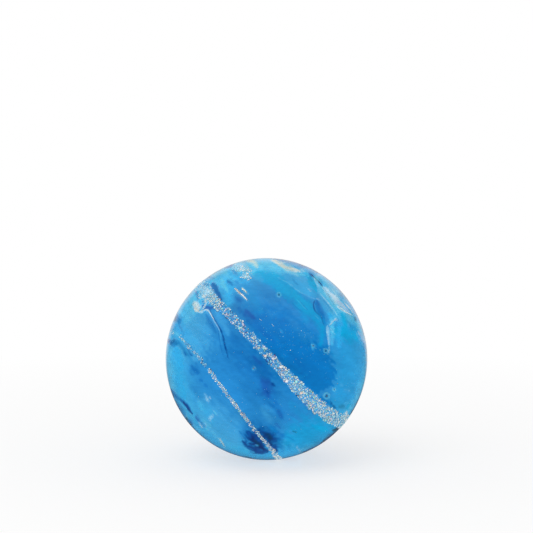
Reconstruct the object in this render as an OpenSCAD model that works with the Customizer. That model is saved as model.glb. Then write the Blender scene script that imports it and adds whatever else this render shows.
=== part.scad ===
// Glass marble: one solid ball, cast and rolled in one piece.
// Its surface carries a flattened cut-off spot, where the hot glass was sheared from the rod,
// a fold line along that spot's edge, and a rolled-in crease on the far side of the crown.

/* [Ball] */
// Diameter of the ball
ball_d = 25; // [18:0.5:42]

/* [Cut-off spot] */
// Turn of the spot about the upright axis: 0 is +X and -90 is the front
spot_turn = -28; // [-180:1:180]
// Height angle of the spot above the ball's middle
spot_rise = 40; // [-60:1:60]
// Width of the flattened spot
spot_w = 5.5; // [3:0.5:8]
// How many times gentler the spot's own curve is than the ball's
spot_flatness = 3; // [1.5:0.1:6]

/* [Fold line] */
// Turn of the fold's middle about the upright axis
fold_turn = -34; // [-180:1:180]
// Height angle of the fold's middle
fold_rise = 46; // [-60:1:60]
// Lean of the fold away from straight up and down, seen from outside
fold_lean = -7; // [-90:1:90]
// Length of the fold
fold_len = 7; // [5:0.5:9]
// Width of the fold's rounded channel
fold_w = 0.4; // [0.3:0.05:0.8]
// Depth of the fold at its middle
fold_depth = 0.12; // [0.05:0.01:0.14]

/* [Crease] */
// Turn of the crease's middle about the upright axis
crease_turn = -122; // [-180:1:180]
// Height angle of the crease's middle
crease_rise = 25; // [-60:1:60]
// Lean of the crease away from straight up and down, seen from outside
crease_lean = 46; // [-90:1:90]
// Length of the crease
crease_len = 6; // [5:0.5:9]
// Width of the crease's rounded channel
crease_w = 0.35; // [0.3:0.05:0.8]
// Depth of the crease at its middle
crease_depth = 0.1; // [0.05:0.01:0.14]

/* [Hidden] */
ball_r = ball_d / 2;
spot_curve_r = ball_r * spot_flatness;
round_fn = 96;
glass_blue = [0.1, 0.46, 0.73];

// Distance from the centre of a round of this radius to the flat of a circle this wide on it
function depth_to_circle(radius, width) = sqrt(pow(radius, 2) - pow(width / 2, 2));

// Radius of the ring whose inner edge enters the ball by depth and leaves it after length
function ring_radius(length, depth) = 1 / (1 / ball_r - 8 * depth / pow(length, 2));

// Turns the children so that their own +Z points out of the ball at this place
module facing(turn, rise, lean = 0) {
    rotate([0, 0, turn])
        rotate([0, 90 - rise, 0])
            rotate([0, 0, lean])
                children();
}

// Ring that cuts a rounded channel along local X, fading out at both of its ends
module channel_cutter(length, width, depth) {
    ring_r = ring_radius(length, depth) + width / 2;
    translate([0, 0, ball_r - depth + width / 2 - ring_r])
        rotate([90, 0, 0])
            rotate_extrude($fn = round_fn)
                translate([ring_r, 0])
                    circle(d = width, $fn = 24);
}

// Large round whose near side lies across the cut-off spot and clears the rest of the ball
module spot_limit() {
    spot_plane = depth_to_circle(ball_r, spot_w);
    translate([0, 0, spot_plane - depth_to_circle(spot_curve_r, spot_w)])
        sphere(r = spot_curve_r, $fn = round_fn);
}

// Ball with its cut-off spot
module rolled_ball() {
    intersection() {
        sphere(d = ball_d, $fn = round_fn);
        facing(spot_turn, spot_rise)
            spot_limit();
    }
}

module marble() {
    color(glass_blue)
        difference() {
            rolled_ball();
            facing(fold_turn, fold_rise, fold_lean)
                channel_cutter(fold_len, fold_w, fold_depth);
            facing(crease_turn, crease_rise, crease_lean)
                channel_cutter(crease_len, crease_w, crease_depth);
        }
}

marble();
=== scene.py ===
import math

import bmesh
import bpy
import numpy as np
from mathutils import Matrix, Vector


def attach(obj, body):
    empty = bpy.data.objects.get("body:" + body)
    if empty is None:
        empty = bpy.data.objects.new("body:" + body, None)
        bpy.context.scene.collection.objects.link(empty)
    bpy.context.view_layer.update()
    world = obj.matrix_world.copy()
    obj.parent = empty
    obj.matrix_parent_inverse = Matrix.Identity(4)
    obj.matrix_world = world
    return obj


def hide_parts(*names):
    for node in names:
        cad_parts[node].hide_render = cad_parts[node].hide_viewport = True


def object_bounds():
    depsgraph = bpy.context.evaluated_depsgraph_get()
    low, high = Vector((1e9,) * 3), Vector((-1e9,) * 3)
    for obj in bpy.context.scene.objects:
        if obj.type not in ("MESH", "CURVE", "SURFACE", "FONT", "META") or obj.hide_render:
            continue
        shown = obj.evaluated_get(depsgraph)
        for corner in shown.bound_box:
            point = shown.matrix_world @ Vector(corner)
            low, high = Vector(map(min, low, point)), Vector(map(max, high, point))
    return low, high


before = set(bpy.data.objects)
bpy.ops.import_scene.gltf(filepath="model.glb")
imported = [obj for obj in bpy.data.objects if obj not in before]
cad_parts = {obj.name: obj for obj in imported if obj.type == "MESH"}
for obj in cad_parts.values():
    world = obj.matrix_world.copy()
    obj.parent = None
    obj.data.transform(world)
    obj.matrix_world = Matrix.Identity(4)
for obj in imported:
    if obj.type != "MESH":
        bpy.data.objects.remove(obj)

CAD_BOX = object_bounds()
MM = 0.001
TINY = 1e-6  # stands in for 0 where a length or share is divided by
BALL_R = (CAD_BOX[1].z - CAD_BOX[0].z) / 2 / MM

# ---- places on the ball


def unit(v):
    v = np.asarray(v, float)
    return v / np.linalg.norm(v, axis=-1, keepdims=True)


def smooth(t):
    t = np.clip(t, 0, 1)
    return t * t * (3 - 2 * t)


class View:
    """The ball as seen from one side. Places are in mm right of and above its middle."""

    def __init__(self, turn, rise, distance):
        t, r = math.radians(turn), math.radians(rise)
        self.right = np.array([math.cos(t), math.sin(t), 0.0])
        self.toward = np.array([math.cos(r) * math.sin(t), -math.cos(r) * math.cos(t), math.sin(r)])
        self.up = np.cross(self.toward, self.right)
        self.distance = distance

    def mix(self, right, up, toward):
        """The direction that points this far right, up and toward the eye."""
        return unit(right * self.right + up * self.up + toward * self.toward)

    def place(self, across, up):
        """The direction of the place on the ball that is seen here, or on its rim if beyond it."""
        line = unit([across, up, -self.distance])
        back = -self.distance * line[2]
        short = back**2 - self.distance**2 + BALL_R**2
        spot = np.array([0.0, 0.0, self.distance]) + (back - math.sqrt(max(short, 0.0))) * line
        return self.mix(*spot)

    def seen(self, d):
        """Where places on the ball are seen, in mm right of and above its middle."""
        near = self.distance / (self.distance - BALL_R * (d @ self.toward))
        return BALL_R * (d @ self.right) * near, BALL_R * (d @ self.up) * near


LENS, SENSOR = 120.0, 36.0  # mm
BALL_SHARE = 0.378  # of the picture's width
BALL_DROP = 0.173  # below the picture's middle, as a share of its width
EYE = BALL_R / math.sin(math.atan(BALL_SHARE / 2 * SENSOR / LENS))

FRONT = View(turn=0, rise=8, distance=EYE)
BACK = View(turn=180, rise=-8, distance=EYE)


def turned(turn, rise):
    """The direction at this turn about the upright axis and this height angle, as in the CAD."""
    t, r = math.radians(turn), math.radians(rise)
    return np.array([math.cos(r) * math.cos(t), math.cos(r) * math.sin(t), math.sin(r)])


def local_axes(d, lean):
    """Two tangents at d: the first points down the ball, turned by lean degrees, as in the CAD."""
    east = unit(np.cross([0.0, 0.0, 1.0], d))
    south = np.cross(east, d)
    a = math.radians(lean)
    along = math.cos(a) * south + math.sin(a) * east
    return along, np.cross(d, along)


class Noise:
    """A smooth random field: a lattice of random numbers, blended between its points."""

    def __init__(self, seed, side=32):
        self.side = side
        self.values = np.random.default_rng(seed).uniform(-1, 1, (side, side, side))

    def __call__(self, points):
        low = np.floor(points).astype(int)
        part = points - low
        part = part * part * (3 - 2 * part)
        total = np.zeros(len(points))
        for corner in np.ndindex(2, 2, 2):
            share = np.prod(np.where(corner, part, 1 - part), axis=1)
            i = (low + corner) % self.side
            total += share * self.values[i[:, 0], i[:, 1], i[:, 2]]
        return total


class Band:
    """Crushed glass along a circle of latitude about its own axis. Turn 0 is nearest the front."""

    WANDER_TURNS = (2.2, 9.0)  # degrees over which its edges wander
    WANDER = 0.15  # share of its width that they wander by
    EDGE = 0.2  # mm over which it thins out at its edges
    LACE_SIZE = 0.5  # mm from one gap between its grains to the next

    def __init__(self, axis, polar, lace, seed, course):
        self.axis = FRONT.mix(*axis)
        self.polar = math.radians(polar)
        self.near = unit(FRONT.toward - self.axis * (FRONT.toward @ self.axis))
        self.onward = np.cross(self.axis, self.near)
        self.lace, self.seed = lace, seed
        self.turns, self.shifts, self.widths, self.densities, self.sizes = np.array(course).T

    def at(self, turn, side):
        """Directions at these turns in degrees and this many mm to the far side of the course."""
        p = self.polar + (side + np.interp(turn, self.turns, self.shifts)) / BALL_R
        t = np.radians(turn)
        ring = np.cos(t)[:, None] * self.near + np.sin(t)[:, None] * self.onward
        return np.cos(p)[:, None] * self.axis + np.sin(p)[:, None] * ring

    def cover(self, dirs):
        """Share of the skin that the band's grains cover at these places."""
        turn = np.degrees(np.arctan2(dirs @ self.onward, dirs @ self.near))
        side = (np.arccos(dirs @ self.axis) - self.polar) * BALL_R
        side = side - np.interp(turn, self.turns, self.shifts)
        fast, slow = self.WANDER_TURNS
        ragged = Noise(self.seed)(np.stack([turn / fast, turn / slow, 0 * turn], -1))
        half = np.interp(turn, self.turns, self.widths) / 2 * (1 + self.WANDER * ragged)
        density = np.interp(turn, self.turns, self.densities, left=0, right=0)
        density = density + self.lace * Noise(self.seed + 1)(dirs * BALL_R / self.LACE_SIZE)
        inside = (turn > self.turns[0]) & (turn < self.turns[-1])
        return inside * smooth((half - np.abs(side)) / self.EDGE + 0.5) * np.clip(density, 0, 1)


WIDE_BAND = Band(
    axis=(0.696, 0.713, 0.084),
    polar=83.9,
    lace=0.45,
    seed=1,
    course=[
        # turn, shift to the far side in mm, width in mm, density, grain size in mm
        (-57, 0.15, 1.25, 0.45, 0.22),
        (-45, -0.08, 1.15, 0.48, 0.23),
        (-30, -0.27, 1.00, 0.58, 0.24),
        (-8, -0.18, 1.00, 0.64, 0.25),
        (5, -0.06, 1.15, 0.74, 0.26),
        (18, 0.16, 1.40, 0.92, 0.27),
        (38, 0.34, 1.65, 1.05, 0.28),
        (50, 0.31, 1.72, 1.10, 0.29),
        (68, 0.14, 1.72, 1.10, 0.29),
        (80, -0.02, 1.85, 1.10, 0.29),
        (120, 0.00, 2.00, 0.80, 0.28),
        (150, 0.00, 1.00, 0.10, 0.25),
    ],
)
NARROW_BAND = Band(
    axis=(0.777, 0.627, -0.055),
    polar=122.7,
    lace=0.60,
    seed=4,
    course=[
        (-56, -0.05, 0.36, 0.30, 0.15),
        (-45, 0.00, 0.36, 0.45, 0.16),
        (-32, -0.06, 0.36, 0.60, 0.18),
        (-22, -0.12, 0.36, 0.60, 0.20),
        (-21, -0.12, 0.30, 0.00, 0.20),
        (-19, -0.10, 0.30, 0.00, 0.20),
        (-18, -0.06, 0.42, 0.75, 0.21),
        (-8, 0.02, 0.42, 0.72, 0.21),
        (2, 0.11, 0.40, 0.72, 0.21),
        (20, 0.16, 0.42, 0.72, 0.22),
        (32, 0.12, 0.40, 0.70, 0.22),
        (42, 0.07, 0.34, 0.72, 0.22),
        (52, 0.00, 0.44, 0.78, 0.22),
        (60, -0.13, 0.62, 0.86, 0.23),
        (70, -0.03, 0.62, 0.92, 0.24),
        (80, -0.18, 0.64, 0.95, 0.24),
        (110, -0.10, 0.70, 0.80, 0.25),
        (140, 0.00, 0.30, 0.10, 0.22),
    ],
)


def drawn_out(dirs, along, across):
    """Coordinates for noise drawn out along the bands: features about so many mm each way."""
    h = dirs @ WIDE_BAND.axis
    ring = dirs - h[:, None] * WIDE_BAND.axis
    return BALL_R * (ring / along + h[:, None] * WIDE_BAND.axis / across)


# ---- relief of the glass skin

SPOT_DIR = turned(-28, 40)
SPOT_W, SPOT_FLATNESS = 5.5, 3.0
FOLD = dict(turn=-34, rise=46, lean=-7, length=7.0, width=0.4, depth=0.12)
CREASE = dict(turn=-122, rise=25, lean=46, length=6.0, width=0.35, depth=0.1)
LIP = 0.02  # mm over which a channel's edge is rounded


def spot_radius(d):
    """Distance from the ball's centre to the gentler round across the cut-off spot."""
    curve_r = BALL_R * SPOT_FLATNESS
    plane = math.sqrt(BALL_R**2 - (SPOT_W / 2) ** 2)
    centre = plane - math.sqrt(curve_r**2 - (SPOT_W / 2) ** 2)
    cos_a = d @ SPOT_DIR
    return centre * cos_a + np.sqrt(curve_r**2 - centre**2 * (1 - cos_a**2))


def channel_radius(d, turn, rise, lean, length, width, depth):
    """Distance from the ball's centre to the floor of a rounded channel that fades at its ends."""
    out = turned(turn, rise)
    along, across = local_axes(out, lean)
    reach = 1 / (1 / BALL_R - 8 * depth / length**2)
    hub = BALL_R - depth - reach
    y = BALL_R * (d @ across)
    half = width / 2
    floor = reach + half - np.sqrt(np.maximum(half**2 - y**2, 0.0))
    dz, dx = d @ out, d @ along
    flat = dz**2 + dx**2
    root = np.maximum((dz * hub) ** 2 - flat * (hub**2 - floor**2), 0.0)
    r = (dz * hub + np.sqrt(root)) / np.maximum(flat, TINY)
    return np.where((np.abs(y) < half) & (dz > 0.5), r, BALL_R + 1.0)


def soft_min(a, b, blend):
    """The lesser of two lengths, with the corner between them rounded over."""
    h = np.clip(0.5 + 0.5 * (b - a) / blend, 0.0, 1.0)
    return b + (a - b) * h - blend * h * (1 - h)


def channelled_radius(d):
    """Distance from the ball's centre to its skin, but for the cut-off spot."""
    r = np.full(len(d), BALL_R)
    for channel in (FOLD, CREASE):
        r = soft_min(r, channel_radius(d, **channel), LIP)
    return np.minimum(r, BALL_R)


def skin_radius(d):
    """Distance from the ball's centre to its skin in each direction."""
    return np.minimum(channelled_radius(d), spot_radius(d))


# ---- meshes

SKIN_CELLS = 60
WELD = 1e-6  # radii within which corners are one
FINE_SIDE = -0.05  # radii toward the eye from which the skin is finer
FINE_PLACES = [
    # mm right, mm up, and the cosine of the angle round it within which the skin is finest
    (7.3, 7.0, 0.90),
    (-6.4, 4.4, 0.955),
]
NORMAL_STEP = 0.002  # radians
ASKEW = (0.31, 0.52, 0.79)  # any direction will do
CHANNEL_LEAN = 0.4  # share of the channels' slope that shows in the shading


def to_object(name, verts, faces, material, slot):
    mesh = bpy.data.meshes.new(name)
    mesh.from_pydata((np.asarray(verts) * MM).tolist(), [], faces)
    mesh.materials.append(material)
    obj = bpy.data.objects.new(name, mesh)
    bpy.context.scene.collection.objects.link(obj)
    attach(obj, "root")
    return obj


def colour_attribute(mesh, name, rgb):
    """One colour for each vertex."""
    layer = mesh.color_attributes.new(name, "FLOAT_COLOR", "POINT")
    rgba = np.ones((len(mesh.vertices), 4), np.float32)
    rgba[:, :3] = rgb
    layer.data.foreach_set("color", rgba.ravel())


def number_attribute(mesh, name, values):
    """One number for each vertex."""
    layer = mesh.attributes.new(name, "FLOAT", "POINT")
    layer.data.foreach_set("value", np.asarray(values, np.float32))


def corners_and_faces(bm):
    """What a mesh that is no longer needed was made of."""
    bm.verts.index_update()
    verts = np.array([v.co for v in bm.verts])
    faces = [[v.index for v in f.verts] for f in bm.faces]
    bm.free()
    return verts, faces


def joined(solids):
    """The corners and faces of several solids as those of one."""
    verts, faces, count = [], [], 0
    for corners, sides in solids:
        verts.append(corners)
        faces += [[i + count for i in side] for side in sides]
        count += len(corners)
    return np.concatenate(verts), faces


def facetted_ball(splits, hollow=False):
    """A ball of unit radius made of triangles. The faces of a hollow one look inward."""
    bm = bmesh.new()
    bmesh.ops.create_icosphere(bm, subdivisions=splits, radius=1.0)
    if hollow:
        bmesh.ops.reverse_faces(bm, faces=bm.faces)
    return corners_and_faces(bm)


def cube_ball(cells):
    """Evenly gridded ball of unit radius: a cube's six faces, their lines bent to equal angles."""
    steps = np.tan(np.linspace(-1, 1, cells + 1) * math.pi / 4)
    x, y = np.meshgrid(steps, steps)
    side = np.stack([x.ravel(), y.ravel(), np.ones(x.size)], -1)
    i = (np.arange(cells)[:, None] * (cells + 1) + np.arange(cells)).ravel()
    quads = np.stack([i, i + 1, i + cells + 2, i + cells + 1], -1)
    verts, faces = [], []
    for order in ([0, 1, 2], [2, 0, 1], [1, 2, 0]):
        for flip in (1, -1):
            verts.append((side * [1, flip, flip])[:, order])
            faces.append(quads + len(side) * len(faces))
    return unit(np.concatenate(verts)), np.concatenate(faces)


def refine(bm, wanted):
    """Splits in four each face whose middle is wanted."""
    centres = np.array([f.calc_center_median() for f in bm.faces])
    keep = wanted(unit(centres))
    edges = {e for f, k in zip(bm.faces, keep) if k for e in f.edges}
    bmesh.ops.subdivide_edges(bm, edges=list(edges), cuts=1, use_grid_fill=True)
    for v in bm.verts:
        v.co.normalize()


def near_fine_place(dirs):
    return np.any([dirs @ FRONT.place(x, y) > reach for x, y, reach in FINE_PLACES], axis=0)


def skin_mesh():
    """The ball's skin as directions and faces, finest where its front has folds and creases."""
    dirs, quads = cube_ball(SKIN_CELLS)
    mesh = bpy.data.meshes.new("skin")
    mesh.from_pydata(dirs.tolist(), [], quads.tolist())
    bm = bmesh.new()
    bm.from_mesh(mesh)
    bpy.data.meshes.remove(mesh)
    bmesh.ops.remove_doubles(bm, verts=bm.verts, dist=WELD)
    refine(bm, lambda d: d @ FRONT.toward > FINE_SIDE)
    refine(bm, near_fine_place)
    bmesh.ops.recalc_face_normals(bm, faces=bm.faces)
    corners, faces = corners_and_faces(bm)
    return unit(corners), faces


def skin_normals(dirs):
    """Outward normals of the skin: the ball's own, leaned over in its channels."""
    a = unit(np.cross(dirs, ASKEW))
    b = np.cross(dirs, a)
    r = channelled_radius(dirs)
    slopes = [(channelled_radius(unit(dirs + NORMAL_STEP * t)) - r) / NORMAL_STEP for t in (a, b)]
    lean = a * slopes[0][:, None] + b * slopes[1][:, None]
    return unit(dirs * r[:, None] - CHANNEL_LEAN * lean)


# ---- bubbles

BUBBLES = [
    # mm right, mm up, mm below the skin, radius in mm, milkiness
    (1.54, 7.95, 0.4, 0.13, 0.5),
    (7.45, -4.6, 0.4, 0.18, 0.8),
    (7.35, 1.0, 0.4, 0.13, 0.5),
    (5.8, 1.6, 0.4, 0.12, 0.9),
    (8.41, -3.8, 0.3, 0.1, 0.9),
    (-1.6, -1.2, 0.3, 0.1, 0.9),
]
# a painted highlight: a pale ring round each bubble
HALO, HALO_WIDTH = 1.9, 0.6  # in radii of the bubble
HALO_STRENGTH = 0.6
HALO_REACH = 1.4  # in its own widths


# ---- how the glass passes light

BEND = 1.5  # refractive index
CLEAR = np.array([0.55, 0.80, 0.92])  # tint of bare skin
LOST = np.array([3.1, 0.80, 0.22])  # red, green and blue absorbed over a diameter, as natural logs
FACE = 0.96  # share of light that a surface passes
SHEEN = 0.011  # light that the skin mirrors where it is seen straight on
MOST_MILK = 0.9
DARKEST = 3e-4
LEAST_ROOT, LEAST_SLANT = 0.02, 0.02


def linear(rgb):
    """Linear light of a colour given as 0 to 255."""
    c = np.asarray(rgb, float) / 255
    return np.where(c <= 0.04045, c / 12.92, ((c + 0.055) / 1.055) ** 2.4)


def seen_under(d, below):
    """The point this far below the skin that shows at direction d of the photo, as glass bends it."""
    line = unit(FRONT.distance * FRONT.toward - BALL_R * d)
    slant = max(float(d @ line), LEAST_SLANT)
    inside = math.sqrt(1 - (1 - slant**2) / BEND**2)
    inward = -line / BEND + (slant / BEND - inside) * d
    return BALL_R * d + below / inside * inward


def skin_for(look):
    """The tint and milkiness of skin that has this look seen straight on, with white behind the ball."""
    wanted = np.maximum(linear(look) - SHEEN, DARKEST)
    through = FACE**2 * np.sqrt(CLEAR) * np.exp(-LOST)
    milk = np.clip(((wanted - through) / (FACE - through)).max(axis=1), 0, MOST_MILK)[:, None]
    solid = np.maximum(milk * FACE, TINY)
    clear = (1 - milk) * through
    root = (np.sqrt(clear**2 + 4 * solid * wanted) - clear) / (2 * solid)
    return np.clip(root, LEAST_ROOT, 1) ** 2, milk[:, 0]


# ---- colours in the glass

# painted sheen: the face turns lighter toward its outer edge, where the glass is seen thinner and mirrors
# the studio
RIM_SHEEN_START, RIM_SHEEN_FADE = 0.62, 0.36  # in radii from the middle of the face
END_TAPER, EDGE_FRAY = 0.45, 0.30  # of a stroke
FIBRES, FIBRE_SIZE = 0.8, (1.3, 0.30)  # of its fray. Sizes are in mm along the bands and across them.
CRUMBS, CRUMB_SIZE = 0.7, 0.32
WAVER, WAVER_SIZE = 0.16, (2.4, 1.1)  # mm by which it strays
RIPPLE, RIPPLE_SIZE = 0.06, (0.9, 0.35)
ELSEWHERE = 9.5  # a shift that gives noise of its own
LIGHTNESS = 1.02
STREAKS, STREAK_SIZE = 0.05, (6.0, 1.6)
HAIRS, HAIR_SIZE = 0.035, (3.0, 0.5)
LOOK_ENDS = (1, 250)
POWDER = 0.7
SMEAR_FADE = 0.4
FACE_END, FACE_FADE = -0.04, 0.16  # in radii toward the eye
CAP_EDGE, CAP_FADE = 0.80, 0.167  # in radii away from it

TONES = {
    "deep": (21, 114, 186),
    "inner": (33, 112, 181),
    "mid": (42, 129, 195),
    "soft": (64, 158, 215),
    "right": (38, 141, 203),
    # the next two tones are painted sheen: the face's outer edge and its pale limb
    "rim": (56, 168, 226),
    "pale rim": (94, 200, 248),
    "azure": (54, 172, 233),
    "side": (60, 163, 217),
    "cyan": (26, 151, 208),
    "bright cyan": (8, 155, 211),
    # top: the pale blue of the ball's top, where a painted sheen stands for the overhead light it mirrors;
    # other pale streaks use it too
    "top": (94, 193, 232),
    "pane": (50, 157, 216),
    "dusk": (28, 102, 175),
    "shade": (26, 118, 186),
    "purple": (36, 90, 166),
    "navy": (14, 66, 134),
    "ink": (9, 47, 100),
    "night": (10, 66, 92),
    "teal": (34, 112, 150),
    "sea": (62, 160, 196),
    "mist": (100, 170, 220),
    # ring: the painted highlight round the bubbles, and one pale stroke at the upper right
    "ring": (108, 182, 208),
    "haze": (160, 208, 238),
    "milk": (205, 226, 240),
    "cream": (222, 218, 202),
    "lilac": (165, 188, 226),
}

WASHES = [
    # tone, strength, width in mm, softness, then points in mm right of and above the middle
    ("deep", 0.95, 11.6, 0.9, (-0.4, 4.9), (2.4, 1.8), (5.3, -0.7)),
    ("inner", 0.8, 6.5, 1.0, (-4.0, 2.2), (-2.0, -0.8), (0.5, -4.4)),
    ("soft", 0.95, 8.0, 0.9, (-9.6, 5.2), (-8.6, 1.0)),
    ("soft", 0.7, 7.0, 1.0, (-7.5, -6.0), (-4.0, -9.4)),
    ("mid", 0.7, 3.4, 1.0, (-9.0, -0.8), (-7.2, -3.4)),
    ("azure", 0.9, 2.8, 0.9, (-11.4, 1.6), (-11.3, -0.8), (-11.0, -2.8), (-10.2, -4.4)),
    ("right", 0.9, 6.0, 0.8, (3.0, -10.0), (5.5, -9.4), (8.0, -8.0)),
    ("cyan", 0.5, 6.0, 0.8, (3.0, -10.0), (5.5, -9.4), (8.0, -8.0)),
    ("azure", 0.75, 3.0, 1.0, (-6.0, -11.0), (-3.0, -12.0), (0.0, -12.4), (4.0, -11.8)),
    ("right", 0.9, 5.5, 0.8, (10.6, 3.5), (10.4, 0.0), (10.2, -3.0), (9.0, -5.5)),
    ("cyan", 0.9, 3.0, 0.8, (8.7, 3.4), (9.8, 3.2), (11.0, 2.6)),
    # painted sheen: the top of the ball lighter, where it mirrors the light overhead
    ("top", 0.95, 4.4, 0.9, (-6.6, 10.2), (-3.5, 11.4), (0.0, 11.9), (2.4, 11.4)),
    ("azure", 0.85, 3.0, 0.9, (-5.6, 10.2), (-4.9, 8.6), (-4.5, 7.0)),
    ("right", 0.6, 3.0, 1.0, (-2.6, 8.8), (-1.6, 7.4), (-0.8, 6.2)),
    # painted sheen: pale bands along the limb, in this stroke and the limb strokes of the same tone below
    ("pale rim", 0.85, 2.8, 1.0, (-10.9, 5.4), (-9.6, 7.4), (-8.2, 9.0)),
    ("top", 0.45, 2.2, 1.0, (-10.2, 4.6), (-9.4, 6.0), (-8.6, 7.4)),
    ("bright cyan", 0.95, 2.8, 0.9, (-1.0, 10.4), (1.1, 9.8), (2.9, 8.4), (4.4, 7.1), (5.5, 6.0)),
    ("pale rim", 1.0, 2.4, 0.9, (-12.2, 3.0), (-12.5, 0.5), (-12.2, -2.0), (-11.6, -4.2)),
    ("pale rim", 0.75, 1.8, 1.0, (12.5, 1.0), (12.3, -2.0), (11.4, -4.8)),
    ("sea", 0.45, 1.3, 1.0, (8.8, 8.8), (10.3, 7.3), (11.3, 5.2)),
]

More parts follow.
